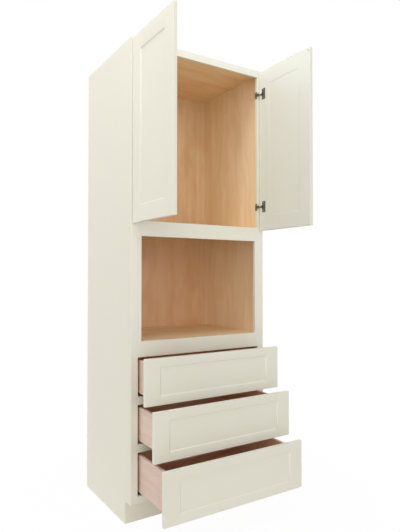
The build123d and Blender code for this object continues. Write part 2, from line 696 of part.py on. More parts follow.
def make_drawer(name, opening, front_level, pull):
    """One drawer in its opening, with its front at front_level, pulled out by its own amount."""
    foot, head = opening
    front_foot, front_head = front_level
    place = Pos(-DRAWER_FRONT_WIDTH / 2, FRONTS_BACK - FRONT_THICKNESS, front_foot)
    members = five_piece(DRAWER_FRONT_WIDTH, front_head - front_foot, DRAWER_STILE_WIDTH, DRAWER_RAIL_WIDTH)
    left, right, bottom, top, panel = [place * member for member in members]
    box_foot = foot + BOX_BOTTOM_CLEARANCE
    box_head = head - BOX_TOP_CLEARANCE
    side, box_front, box_back, floor = make_box(box_foot, box_head)
    screws = []
    for seat in front_screw_seats(box_foot, box_head):
        screws.append(screw(seat, (0, -1, 0), FRONT_SCREW_LENGTH))
        hole = screw_hole(seat, (0, -1, 0), FRONT_SCREW_LENGTH)
        left -= hole
        right -= other_side(hole)
        box_front = box_front - hole - other_side(hole)
    drawer = {
        "front_stiles": [left, right],
        "front_rails": [bottom, top],
        "front_panel": [panel],
        "front_screws": both_sides(screws),
        "box_sides": both_sides([side]),
        "box_ends": [box_front, box_back],
        "box_floor": [floor],
        "runners": both_sides([make_runner(foot), make_catch(foot)]),
    }
    for piece_name, pieces in drawer.items():
        save(f"drawer_{name}_{piece_name}", *[Pos(0, -pull, 0) * piece for piece in pieces])

    # the link goes half as far as the drawer
    link = along_slide(link_section(foot), LINK_FRONT, LINK_FRONT + LINK_LENGTH)
    save(f"slide_links_{name}", *[Pos(0, -pull / 2, 0) * piece for piece in both_sides([link])])


def make_drawers():
    top_front = (TOP_FRONT_FOOT, TOP_FRONT_HEAD)
    middle_front = (MIDDLE_FRONT_FOOT, MIDDLE_FRONT_HEAD)
    bottom_front = (BOTTOM_FRONT_FOOT, BOTTOM_FRONT_HEAD)
    make_drawer("top", (TOP_OPENING_FOOT, TOP_OPENING_HEAD), top_front, TOP_DRAWER_PULL)
    make_drawer("middle", (MIDDLE_OPENING_FOOT, MIDDLE_OPENING_HEAD), middle_front, MIDDLE_DRAWER_PULL)
    make_drawer("bottom", (BOTTOM_OPENING_FOOT, BOTTOM_OPENING_HEAD), bottom_front, BOTTOM_DRAWER_PULL)


def make_cabinet_hardware():
    save("hinge_arms", *both_sides([make_hinge_arm(level) for level in HINGE_LEVELS]))
    save("slide_channels", *both_sides([make_channel(foot) for foot in OPENING_FEET]))
    save("slide_brackets", *both_sides([make_bracket(foot) for foot in OPENING_FEET]))
    make_cabinet_screws()


def main():
    os.makedirs("parts", exist_ok=True)
    make_case()
    make_face_frame()
    make_cabinet_hardware()
    make_doors()
    make_drawers()


main()
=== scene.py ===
"""Tall oven cabinet: finished pieces, materials, floor, lights and camera, in its CAD model's frame."""
import json
import math

import bmesh
import bpy
from mathutils import Matrix, Vector

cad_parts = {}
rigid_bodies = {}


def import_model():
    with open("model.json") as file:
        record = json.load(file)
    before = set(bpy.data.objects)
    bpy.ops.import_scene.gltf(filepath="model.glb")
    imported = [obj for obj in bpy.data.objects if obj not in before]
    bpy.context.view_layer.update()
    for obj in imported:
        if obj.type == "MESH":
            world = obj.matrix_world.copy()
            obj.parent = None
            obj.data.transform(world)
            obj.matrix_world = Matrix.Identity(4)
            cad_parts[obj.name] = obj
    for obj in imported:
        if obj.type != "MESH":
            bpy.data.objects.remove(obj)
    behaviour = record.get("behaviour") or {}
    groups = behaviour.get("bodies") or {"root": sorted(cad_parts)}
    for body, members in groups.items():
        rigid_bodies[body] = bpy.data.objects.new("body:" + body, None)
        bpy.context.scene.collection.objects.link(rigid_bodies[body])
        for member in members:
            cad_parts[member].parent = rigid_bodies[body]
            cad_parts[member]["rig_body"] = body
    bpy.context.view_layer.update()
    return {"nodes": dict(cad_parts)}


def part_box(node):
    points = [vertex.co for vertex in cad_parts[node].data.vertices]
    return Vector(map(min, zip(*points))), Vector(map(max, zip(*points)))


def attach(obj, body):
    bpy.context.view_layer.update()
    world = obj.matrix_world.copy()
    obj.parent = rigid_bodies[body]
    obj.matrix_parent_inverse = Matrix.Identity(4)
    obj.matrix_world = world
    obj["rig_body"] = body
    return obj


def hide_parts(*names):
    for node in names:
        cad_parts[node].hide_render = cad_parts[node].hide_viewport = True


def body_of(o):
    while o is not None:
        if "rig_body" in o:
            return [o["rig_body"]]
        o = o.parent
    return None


bl_info = {
    "name": "Tall oven cabinet",
    "version": (1, 0, 0),
    "blender": (4, 5, 0),
    "location": "3D View > Sidebar > Cabinet",
    "description": "Finishes the pieces of a tall cabinet for a built-in oven",
    "category": "Object",
}

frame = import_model()
MM = 0.001
ALONG_X, ALONG_Y, ALONG_Z = range(3)

# The levels of the drawers and the sides of the doors, as their pieces are named
LEVELS = ("top", "middle", "bottom")
SIDES = ("left", "right")

# Corners to round are longer than the facets of a small hole, and bend more than a seam does
SHORTEST_CORNER = 6 * MM
SHARP_ANGLE = math.radians(40)
ROUND_STEPS = 3
FINE_STEPS = 2
# triangles that bend less than this are one face, and points nearer than this are one corner
FLAT_ANGLE = math.radians(0.5)
TOUCHING = 0.001 * MM
# a corner this near to a plane lies on it
ON_PLANE = 0.01 * MM
# a face looks one way if its normal points there with more than this share of its length
FACING = 0.9

# Screws: widths are shares of the head's radius, and heights are shares of the head's height
CROSS_WIDTH = 0.13
CROSS_REACH = 0.55
CROSS_DEPTH = 0.8
CROSS_TAPER = 0.7
CROWN_WIDTH = 0.8
SHOULDER_WIDTH = 0.94
SHOULDER_HEIGHT = 0.85
SIDE_HEIGHT = 0.6
FLAT_SIDE_HEIGHT = 0.9
RIM_WIDTH = 0.99
SHANK_WIDTH = 0.7
# the tip's width is a share of the shank's radius
TIP_WIDTH = 0.2
SCREW_SIDES = 24
SCREW_CREASE = math.radians(35)

# Measures of a CAD solid that differ by less than this count as the same
SLACK = 0.1 * MM
# the nylon catches are the first stretch of the runners, at the drawer's front
CATCH_LENGTH = 20 * MM

# Patterns of wood in metres: how wide they are across the grain, and how long along it
SWAY = (0.22, 0.9)
BANDS = (0.05, 0.9)
STREAKS = (0.005, 0.3)
PORES = (0.0011, 0.011)
HEARTWOOD = (0.12, 0.3)
# the trunk's heart lies 250 mm in front of the wall, and the trunk tapers and sways
HEART_SHIFT = (0.13, 0.25, -0.29)
TAPER = 0.22
SWAY_SHIFT = 0.07
# growth rings stand 11 mm apart, and a wave texture repeats every 0.314 units
RING_SCALE = 0.314 / 0.011
RING_SHARE = 0.18
CALM_RING_SHARE = 0.1
STREAK_SHARE = 0.44
PORE_SHARE = 0.18
# below and above these values of the figure, the wood has its dark and its light colour
DARK_END = 0.38
LIGHT_START = 0.6
# heartwood shows where its clouds pass the first value, and is at its rosiest past the second
HEART_START = 0.45
HEART_FULL = 0.75
HEART_SHARE = 0.7
# painted rosy shade tints so much of the back panel's bottom half, where the oven bay lies in shade; the
# tint ends between these levels
BAY_SHADE_SHARE = 0.6
BAY_SHADE_TOP = 1.35
BAY_SHADE_END = 1.6
# the streaks change the shine by so much to either side
SHINE_SPREAD = 0.05

# Floor: half its width, and its level a hair below the cabinet's feet
FLOOR_HALF = 12.0
FLOOR_LEVEL = -0.2 * MM
# it keeps the soft shadow up to the first distance from this middle, and is white from the second
FLOOR_MIDDLE = (0.0, -0.5, 0.0)
SHADOW_NEAR = 0.5
SHADOW_FAR = 1.4
# share of plain white where the shadow is kept
FLOOR_WHITE = 0.97

# Wide lights: where they come from, in metres, and how wide they look, in degrees
LIGHT_TARGET = (0.0, -0.6, 1.3)
WIDE_LIGHTS = {
    "left_light": ((-2.7, -4.75, 2.0), 60),
    "right_light": ((2.09, -5.09, 2.0), 50),
    "side_light": ((-4.68, -1.01, 3.01), 90),
}
# Square lamps: where they hang, where they look, and how wide they are, in metres
LAMPS = {
    "top_lamp": ((-0.9, -1.3, 4.2), (0.1, -0.8, 2.0), 1.2),
    "back_lamp": ((-3.6, 1.0, 2.6), (-0.42, -0.3, 1.4), 2.0),
}

# Camera of the photograph: place in metres, turns in degrees, lens and sensor in millimetres
CAMERA_PLACE = (-1.4684, -2.8821, 1.2424)
CAMERA_TURNS = (91.115, 0.0, -32.6)
CAMERA_LENS = 33.97
CAMERA_SENSOR = 36.0


# Settings

def linear(code):
    """A colour written as an sRGB hex code, as Blender's linear red, green, blue and alpha."""
    parts = [int(code[place : place + 2], 16) / 255 for place in (0, 2, 4)]
    return [part / 12.92 if part <= 0.04045 else ((part + 0.055) / 1.055) ** 2.4 for part in parts] + [1.0]


def length(name, description, size):
    """A setting for a length in metres."""
    return bpy.props.FloatProperty(name=name, description=description, default=size, unit="LENGTH")


def colour(name, description, code):
    """A setting for a colour, from its sRGB hex code."""
    return bpy.props.FloatVectorProperty(
        name=name, description=description, size=4, subtype="COLOR", default=linear(code)
    )


def strength(name, description, value, unit="NONE"):
    """A setting for the strength of a light."""
    return bpy.props.FloatProperty(name=name, description=description, default=value, unit=unit)


class CabinetSizes(bpy.types.PropertyGroup):
    """Small sizes that the finished pieces add to the CAD solids"""

    outer_edge: length("Outer edge", "Radius on the outer edges of the doors and drawer fronts", 1.6 * MM)
    board_edge: length("Board edge", "Radius on the edges of the frame, panels and drawer boxes", 0.8 * MM)
    joint_edge: length("Joint edge", "Radius along the glued joints of doors and drawer fronts", 0.25 * MM)
    metal_edge: length("Metal edge", "Radius on the edges of stamped steel", 0.25 * MM)


class CabinetFinishes(bpy.types.PropertyGroup):
    """Colours of the finishes"""

    paint: colour("Paint", "Main colour of the painted wood", "E9E6D7")
    paint_thin: colour("Thin paint", "Colour of the paint where it lies a little thinner", "E5E2D2")
    # the inner coat is painted cooler than the paint, to cancel the warm light bounced onto the inner faces
    # from the veneer
    inner_paint_against_bounce: colour("Inner paint", "Cooler coat on the inner faces of doors and fronts", "E5E8DF")
    inner_paint_against_bounce_thin: colour("Thin inner paint", "Inner coat where it lies a little thinner", "E1E4DA")
    veneer_light: colour("Light veneer", "Lightest bands of the maple veneer", "FBE0BB")
    veneer_dark: colour("Dark veneer", "Darkest bands of the maple veneer", "EBC994")
    # this rosy colour serves the heartwood clouds, and also the painted shade on the bottom half of the
    # back panel
    veneer_heart_and_bay_shade: colour("Rosy veneer", "Clouds of heartwood in the maple veneer", "E2B082")
    # the side walls' veneer is painted paler and less saturated, as painted light and sheen on the inner
    # sides
    side_veneer_brightened_light: colour("Light pale veneer", "Lightest bands of the paler sheets at the sides", "FEE7C8")
    side_veneer_brightened_dark: colour("Dark pale veneer", "Darkest bands of the paler sheets at the sides", "F0D2A4")
    box_light: colour("Light drawer wood", "Lightest bands of the drawer boxes' wood", "E6CEBF")
    box_dark: colour("Dark drawer wood", "Darkest bands of the drawer boxes' wood", "D5B8A7")
    # the lining is the box wood painted paler and warmer, as painted light for the shaded inside of the
    # drawers
    brightened_lining_light: colour("Light lining", "Lightest bands of the wood inside the drawers", "FED5B6")
    brightened_lining_dark: colour("Dark lining", "Darkest bands of the wood inside the drawers", "F6C5A2")
    # the hinges' grey is painted reflection: a dark non-metal colour in place of what the plated steel
    # mirrors in the shade
    hinge_grey_for_dark_reflections: colour("Hinge grey", "Thin coat of the hinges", "66665B")
    zinc: colour("Zinc", "Plating of the slides and screws", "B9BCBE")


class CabinetStage(bpy.types.PropertyGroup):
    """Light and floor round the cabinet"""

    sky: strength("Even light", "Strength of the light that comes from all sides", 0.386)
    left_light: strength("Left light", "Wide light from behind the camera, in watts per square metre", 0.93)
    right_light: strength("Right light", "Wide light from the front right, in watts per square metre", 0.5)
    side_light: strength("Side light", "Wide light from the left side, in watts per square metre", 0.468)
    top_lamp: strength("Top lamp", "Power of the lamp above the doors", 42.0, "POWER")
    back_lamp: strength("Back lamp", "Power of the large lamp behind the left side", 17.0, "POWER")
    floor: colour("Floor", "Colour of the floor", "F9F9F6")


# Nodes

def fill(tree, made, inputs):
    """Gives a node's inputs their values, or links them to the outputs given."""
    for name, value in inputs.items():
        if isinstance(value, bpy.types.NodeSocket):
            tree.links.new(value, made.inputs[name])
        else:
            made.inputs[name].default_value = value


def add(tree, kind, settings=None, inputs=None):
    """Adds a node with its settings, values and links."""
    made = tree.nodes.new(kind)
    for name, value in (settings or {}).items():
        setattr(made, name, value)
    fill(tree, made, inputs or {})
    return made


def object_place(tree):
    """Where a point lies on its object, in metres."""
    return add(tree, "ShaderNodeTexCoord").outputs["Object"]


def spots(tree, width, detail=2.0):
    """Soft pattern of spots that are so many metres wide."""
    inputs = {"Vector": object_place(tree), "Scale": 1 / width, "Detail": detail}
    return add(tree, "ShaderNodeTexNoise", inputs=inputs).outputs["Fac"]


def between(tree, value, low, high, start=0.3, end=0.7):
    """A value that goes from low to high while another goes from start to end."""
    inputs = {"Value": value, "From Min": start, "From Max": end, "To Min": low, "To Max": high}
    return add(tree, "ShaderNodeMapRange", inputs=inputs).outputs["Result"]


def shade_ramp(tree, value, stops):
    """Colour that turns from one stop to the other as a value rises."""
    made = add(tree, "ShaderNodeValToRGB", inputs={"Fac": value})
    for stop, (position, shade) in zip(made.color_ramp.elements, stops):
        stop.position = position
        stop.color = shade
    return made.outputs["Color"]


def add_up(tree, first, second):
    """Sum of two values, held between zero and one."""
    settings = {"operation": "ADD", "use_clamp": True}
    return add(tree, "ShaderNodeMath", settings, {0: first, 1: second}).outputs[0]


def mix_values(tree, share, first, second):
    """One value with a share of a second."""
    return add(tree, "ShaderNodeMix", inputs={0: share, 2: first, 3: second}).outputs[0]


def mix_colours(tree, share, first, second):
    """One colour with a share of a second."""
    return add(tree, "ShaderNodeMix", {"data_type": "RGBA"}, {0: share, 6: first, 7: second}).outputs[2]


def relief(tree, height, amount, depth):
    """Normal of a fine relief that is so many metres deep."""
    inputs = {"Strength": amount, "Distance": depth, "Height": height}
    return add(tree, "ShaderNodeBump", inputs=inputs).outputs["Normal"]


def seen_straight(tree):
    """One for rays that the camera sends straight, by a reflection or through glass, and else zero."""
    path = add(tree, "ShaderNodeLightPath").outputs
    straight = add_up(tree, path["Is Camera Ray"], path["Is Glossy Ray"])
    return add_up(tree, straight, path["Is Transmission Ray"])


def new_material(name, inputs):
    """A material, its node tree and its surface shader with the even values set on it."""
    made = bpy.data.materials.new(name)
    made.use_nodes = True
    shader = made.node_tree.nodes["Principled BSDF"]
    fill(made.node_tree, shader, inputs)
    return made, made.node_tree, shader


# Materials

def make_satin_paint(name, coat):
    """Satin catalysed paint, sprayed on solid maple and smooth fibreboard.

    It gives the eye an even warm cream with a wide soft shine. The spray leaves a very fine ripple,
    and the coat is a little thinner here and there, which changes its colour by a shade.
    """
    finishes = bpy.context.scene.cabinet_finishes
    made, tree, shader = new_material(name, {"IOR": 1.5})
    # clouds of thinner and thicker paint, about 300 mm across
    clouds = spots(tree, 300 * MM)
    # spray ripple, about 3 mm from crest to crest
    ripple = spots(tree, 3 * MM, detail=1.0)
    surface = {
        "Base Color": mix_colours(tree, clouds, getattr(finishes, f"{coat}_thin"), getattr(finishes, coat)),
        "Roughness": between(tree, clouds, low=0.36, high=0.46),
        "Normal": relief(tree, ripple, amount=0.25, depth=0.04 * MM),
    }
    fill(tree, shader, surface)
    return made


def make_wood(name, axis, colours, roughness, coat, bay_shade=0.0, rings=RING_SHARE):
    """Wood with its grain along one axis, from its light, dark and rosy colours; the rosy one serves
    heartwood and painted shade.

    Growth rings cut by the face draw long arches, and bands, streaks and short pores run between them.
    One argument gives the share of rosy painted shade on the bottom half of a tall sheet, where the oven
    bay lies in shade, and rings gives the share of the arches.
    """
    light, dark, rosy = colours
    made, tree, shader = new_material(name, {"IOR": 1.5, "Coat Weight": coat, "Coat Roughness": 0.25})
    place = object_place(tree)

    def pattern(size, settings):
        """Soft pattern of one width across the grain and one length along it."""
        across, along = size
        scale = [1 / across] * 3
        scale[axis] = 1 / along
        spread = add(tree, "ShaderNodeMapping", inputs={"Vector": place, "Scale": scale})
        inputs = {"Vector": spread.outputs["Vector"], "Scale": 1.0, **settings}
        return add(tree, "ShaderNodeTexNoise", inputs=inputs).outputs

    scale = [1.0] * 3
    scale[axis] = TAPER
    laid = {"Vector": place, "Location": HEART_SHIFT, "Scale": scale}
    trunk = add(tree, "ShaderNodeMapping", inputs=laid).outputs["Vector"]
    sway = pattern(SWAY, {"Detail": 2.0})["Color"]
    swayed = add(
        tree,
        "ShaderNodeVectorMath",
        {"operation": "MULTIPLY_ADD"},
        {0: sway, 1: [SWAY_SHIFT] * 3, 2: trunk},
    )
    arches = add(
        tree,
        "ShaderNodeTexWave",
        {"wave_type": "RINGS", "rings_direction": "SPHERICAL", "wave_profile": "SAW"},
        {"Vector": swayed.outputs[0], "Scale": RING_SCALE},
    ).outputs["Fac"]
    bands = pattern(BANDS, {"Detail": 2.0, "Distortion": 0.5})["Fac"]
    streaks = pattern(STREAKS, {"Detail": 3.0, "Roughness": 0.65})["Fac"]
    pores = pattern(PORES, {"Detail": 1.0})["Fac"]
    figure = mix_values(tree, rings, bands, arches)
    figure = mix_values(tree, STREAK_SHARE, figure, streaks)
    figure = mix_values(tree, PORE_SHARE, figure, pores)
    grain = shade_ramp(tree, figure, ((DARK_END, dark), (LIGHT_START, light)))
    # rosy where the heartwood shows, and painted rosy shade on the bottom half of the back panel at the
    # oven bay
    clouds = pattern(HEARTWOOD, {"Detail": 2.0})["Fac"]
    heart = between(tree, clouds, 0.0, HEART_SHARE, HEART_START, HEART_FULL)
    # painted shade: the back panel turns rosy below the top of the oven bay
    height = add(tree, "ShaderNodeSeparateXYZ", inputs={"Vector": place}).outputs["Z"]
    painted_bay_shade = between(tree, height, bay_shade, 0.0, BAY_SHADE_TOP, BAY_SHADE_END)
    surface = {
        "Base Color": mix_colours(tree, add_up(tree, heart, painted_bay_shade), grain, rosy),
        "Roughness": between(tree, streaks, roughness + SHINE_SPREAD, roughness - SHINE_SPREAD),
        "Normal": relief(tree, pores, amount=0.3, depth=0.08 * MM),
    }
    fill(tree, shader, surface)
    return made


def make_veneer(name, axis, bay_shade=0.0):
    """Sliced maple veneer on plywood under a clear lacquer cured with ultraviolet light.

    It gives the eye a warm honey tone with faint arches and streaks, and a low even shine. On the back
    panel its bottom half carries a rosy painted shade for the oven bay.
    """
    finishes = bpy.context.scene.cabinet_finishes
    colours = (finishes.veneer_light, finishes.veneer_dark, finishes.veneer_heart_and_bay_shade)
    return make_wood(name, axis, colours, roughness=0.42, coat=0.15, bay_shade=bay_shade)


def make_brightened_side_veneer(name, axis):
    """The same veneer and lacquer, painted paler and less saturated for the side walls: a light straw tone
    that stands in for light the sides lack and for the lacquer's shine seen at a slant.
    """
    finishes = bpy.context.scene.cabinet_finishes
    colours = (finishes.side_veneer_brightened_light, finishes.side_veneer_brightened_dark, finishes.side_veneer_brightened_dark)
    return make_wood(name, axis, colours, roughness=0.42, coat=0.15)


def make_raw_ply(name, axis):
    """Unfinished plywood on the faces that stand against the wall or under the ceiling: dry and dull."""
    colours = (linear("E0C9A4"), linear("CDB085"), linear("D6B48E"))
    return make_wood(name, axis, colours, roughness=0.7, coat=0.0)


def make_box_wood(name, axis):
    """Birch plywood of the drawer boxes under a thin clear lacquer: pale with a rosy cast."""
    finishes = bpy.context.scene.cabinet_finishes
    colours = (finishes.box_light, finishes.box_dark, finishes.box_dark)
    return make_wood(name, axis, colours, roughness=0.45, coat=0.1, rings=CALM_RING_SHARE)


def make_brightened_lining(name, axis):
    """Wood inside the drawer boxes, painted paler and warmer than the box wood to make up for the little
    light that gets in; in the shade there it still renders deep brown.
    """
    finishes = bpy.context.scene.cabinet_finishes
    colours = (finishes.brightened_lining_light, finishes.brightened_lining_dark, finishes.brightened_lining_dark)
    return make_wood(name, axis, colours, roughness=0.45, coat=0.1)


def make_zinc_steel(name):
    """Stamped sheet steel under zinc: a grey metal shine, cloudy where the bath left it uneven."""
    zinc = bpy.context.scene.cabinet_finishes.zinc
    made, tree, shader = new_material(name, {"Metallic": 1.0, "Base Color": zinc})
    # plating clouds about 6 mm across and rolling marks about 0.4 mm wide
    clouds = spots(tree, 6 * MM, detail=3.0)
    marks = spots(tree, 0.4 * MM, detail=1.0)
    surface = {
        "Roughness": between(tree, clouds, low=0.28, high=0.42),
        "Normal": relief(tree, marks, amount=0.2, depth=0.02 * MM),
    }
    fill(tree, shader, surface)
    return made


def make_hinge_painted_reflections(name):
    """Pressed steel shown as a dull olive grey non-metal surface, cloudy, with a soft shine: the dark grey
    is painted reflection, standing in for the dark surroundings that the plated steel mirrors in the shaded
    cabinet.
    """
    grey = bpy.context.scene.cabinet_finishes.hinge_grey_for_dark_reflections
    made, tree, shader = new_material(name, {"Metallic": 0.0, "IOR": 1.6})
    # clouds of the bath about 5 mm across and a fine tooth about 0.5 mm wide
    clouds = spots(tree, 5 * MM, detail=3.0)
    tooth = spots(tree, 0.5 * MM, detail=1.0)
    surface = {
        "Base Color": shade_ramp(tree, clouds, ((0.35, linear("56564C")), (0.65, grey))),
        "Roughness": between(tree, clouds, low=0.32, high=0.46),
        "Normal": relief(tree, tooth, amount=0.2, depth=0.02 * MM),
    }
    fill(tree, shader, surface)
    return made


def make_nylon(name):
    """Moulded grey nylon with a fine matt grain from the mould."""
    made, tree, shader = new_material(name, {"Base Color": linear("B7B8B4"), "IOR": 1.53})
    # mould grain, about 0.8 mm
    grain = spots(tree, 0.8 * MM)
    surface = {
        "Roughness": between(tree, grain, low=0.45, high=0.6, start=0.0, end=1.0),
        "Normal": relief(tree, grain, amount=0.3, depth=0.03 * MM),
    }
    fill(tree, shader, surface)
    return made


def make_bumper_gel(name):
    """Cast milky polyurethane: a pale soft pad with a wet shine."""
    made, tree, shader = new_material(name, {"IOR": 1.5, "Roughness": 0.25})
    # milky clouds, about 2 mm
    clouds = spots(tree, 2 * MM)
    fill(tree, shader, {"Base Color": mix_colours(tree, clouds, linear("E2E0D4"), linear("F0EFE6"))})
    return made


# Each material's maker, and what it needs besides the name
MAKERS = {
    "satin_cream_paint": (make_satin_paint, "paint"),
    # the inner coat: paint made cooler to cancel the warm light bounced from the veneer
    "satin_cream_cooled_against_bounce": (make_satin_paint, "inner_paint_against_bounce"),
    # the back panel: veneer with a rosy painted shade on its bottom half, at the oven bay
    "maple_veneer_back_bay_shaded": (make_veneer, ALONG_Z, BAY_SHADE_SHARE),
    # the side walls: the same veneer painted paler, as painted light and sheen
    "maple_veneer_sides_brightened": (make_brightened_side_veneer, ALONG_Z),
    "maple_veneer_level": (make_veneer, ALONG_X),
    "raw_plywood_upright": (make_raw_ply, ALONG_Z),
    "raw_plywood_level": (make_raw_ply, ALONG_X),
    "box_wood_lengthwise": (make_box_wood, ALONG_Y),
    "box_wood_crosswise": (make_box_wood, ALONG_X),
    # the lining: box wood painted paler and warmer to stand in for light inside the drawers
    "brightened_lining_lengthwise": (make_brightened_lining, ALONG_Y),
    "brightened_lining_crosswise": (make_brightened_lining, ALONG_X),
    "steel_grey_painted_reflections": (make_hinge_painted_reflections,),
    "zinc_steel": (make_zinc_steel,),
    "moulded_nylon": (make_nylon,),
    "milky_bumper": (make_bumper_gel,),
}


def finish(name):
    """The material of that name, made when it is first asked for."""
    maker, *settings = MAKERS[name]
    return bpy.data.materials.get(name) or maker(name, *settings)


# Pieces from the CAD solids

def copy_of(node):
    """A CAD node's shape with its triangles joined into whole faces."""
    shape = bmesh.new()
    shape.from_mesh(frame["nodes"][node].data)
    bmesh.ops.remove_doubles(shape, verts=shape.verts, dist=TOUCHING)
    bmesh.ops.dissolve_limit(
        shape,
        angle_limit=FLAT_ANGLE,
        verts=shape.verts,
        edges=shape.edges,
        delimit={"NORMAL"},
    )
    return shape


def is_sharp(edge):
    """Whether an edge is a long corner between two faces, and not a joint or the rim of a small hole."""
    long = edge.calc_length() > SHORTEST_CORNER
    return edge.is_manifold and long and edge.calc_face_angle() > SHARP_ANGLE


def on_outline(edge, low, high):
    """Whether an edge lies along an edge of the box between two corners."""
    planes = 0
    for axis in range(3):
        for limit in (low[axis], high[axis]):
            planes += all(abs(corner.co[axis] - limit) < ON_PLANE for corner in edge.verts)
    return planes >= 2


def ease(shape, edges, width, steps=ROUND_STEPS):
    """Rounds edges of a shape."""
    bmesh.ops.bevel(
        shape,
        geom=edges,
        offset=width,
        offset_type="OFFSET",
        segments=steps,
        profile=0.5,
        affect="EDGES",
        clamp_overlap=True,
        material=-1,
    )


def facing(direction, there=1, elsewhere=0):
    """A chooser that gives faces one finish if they look that way, and else another."""
    return lambda face: there if face.normal.dot(Vector(direction)) > FACING else elsewhere


def whole_box(nodes):
    """Lowest and highest corner of several CAD nodes."""
    corners = [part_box(node) for node in nodes]
    low = [min(corner[0][axis] for corner in corners) for axis in range(3)]
    high = [max(corner[1][axis] for corner in corners) for axis in range(3)]
    return Vector(low), Vector(high)


def place_piece(shape, node, finishes):
    """Turns a shape into the piece that stands for a CAD node and moves with its body."""
    name = f"{node}_finished"
    mesh = bpy.data.meshes.new(name)
    shape.normal_update()
    shape.to_mesh(mesh)
    shape.free()
    for material in finishes:
        mesh.materials.append(finish(material))
    mesh.shade_smooth()
    piece = bpy.data.objects.new(name, mesh)
    bpy.context.scene.collection.objects.link(piece)
    even = piece.modifiers.new("Even shading", "WEIGHTED_NORMAL")
    even.keep_sharp = True
    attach(piece, body_of(frame["nodes"][node])[0])
    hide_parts(node)


def dress(node, finishes, width, choose=None):
    """A piece like a CAD node, with rounded edges and a finish for each face."""
    shape = copy_of(node)
    if choose:
        for face in shape.faces:
            face.material_index = choose(face)
    ease(shape, [edge for edge in shape.edges if is_sharp(edge)], width)
    place_piece(shape, node, finishes)


def dress_front(front, inward):
    """A five-piece front: wide rounds on its outline, hairlines at its joints, and inside a coat painted
    cooler to cancel the warm light that the veneer bounces onto it.
    """
    sizes = bpy.context.scene.cabinet_sizes
    nodes = [f"{front}_{part}" for part in ("stiles", "rails", "panel")]
    low, high = whole_box(nodes)
    choose = facing(inward)
    for node in nodes:
        shape = copy_of(node)
        for face in shape.faces:
            face.material_index = choose(face)
        outline = [edge for edge in shape.edges if is_sharp(edge) and on_outline(edge, low, high)]
        ease(shape, outline, sizes.outer_edge)
        ease(shape, [edge for edge in shape.edges if is_sharp(edge)], sizes.joint_edge, FINE_STEPS)
        place_piece(shape, node, ["satin_cream_paint", "satin_cream_cooled_against_bounce"])


def loose_parts(shape):
    """The separate solids of a shape, each as a list of its corners."""
    seen = set()
    parts = []
    for start in shape.verts:
        if start in seen:
            continue
        seen.add(start)
        part = [start]
        for corner in part:
            for edge in corner.link_edges:
                other = edge.other_vert(corner)
                if other not in seen:
                    seen.add(other)
                    part.append(other)
        parts.append(part)
    return parts


def measure_screw(part):
    """Where a CAD screw's seat is, which way its head looks, and its sizes in metres."""
    low = Vector([min(corner.co[axis] for corner in part) for axis in range(3)])
    high = Vector([max(corner.co[axis] for corner in part) for axis in range(3)])
    middle = (low + high) / 2
    spread = high - low
    axis = max(range(3), key=lambda place: spread[place])
    along = Vector([1.0 if place == axis else 0.0 for place in range(3)])

    def wide(corner):
        way = corner.co - middle
        return (way - along * way.dot(along)).length

    radius = max(wide(corner) for corner in part)
    heads = [(corner.co - middle).dot(along) for corner in part if wide(corner) > radius * RIM_WIDTH]
    shanks = [(corner.co - middle).dot(along) for corner in part if wide(corner) < radius * SHANK_WIDTH]
    side = 1 if sum(heads) > 0 else -1
    out = along * side
    top = spread[axis] / 2
    seat = max(level * side for level in shanks)
    flat = max(heads) - min(heads) < SLACK
    shank = min(wide(corner) for corner in part if wide(corner) > SLACK)
    return middle + out * seat, out, radius, shank, top - seat, top + seat, flat


def corners_in(grown):
    """The corners that an extrusion made."""
    return [part for part in grown["geom"] if isinstance(part, bmesh.types.BMVert)]


def sink_cross(shape, radius, head):
    """Presses a cross recess into the flat disc that closes a screw's head."""
    slot, reach = radius * CROSS_WIDTH, radius * CROSS_REACH
    for across in (Vector((1, 0, 0)), Vector((0, 1, 0))):
        for distance in (-reach, -slot, slot, reach):
            everything = shape.verts[:] + shape.edges[:] + shape.faces[:]
            bmesh.ops.bisect_plane(shape, geom=everything, plane_co=across * distance, plane_no=across)
    rim = [edge for edge in shape.edges if edge.is_boundary]
    cross = []
    for face in shape.faces:
        centre = face.calc_center_median()
        near, far = sorted((abs(centre.x), abs(centre.y)))
        if near < slot and far < reach:
            cross.append(face)
    bottom = corners_in(bmesh.ops.extrude_face_region(shape, geom=cross))
    bmesh.ops.delete(shape, geom=cross, context="FACES")
    bmesh.ops.translate(shape, verts=bottom, vec=(0, 0, -CROSS_DEPTH * head))
    bmesh.ops.scale(shape, verts=bottom, vec=(CROSS_TAPER, CROSS_TAPER, 1))
    return rim


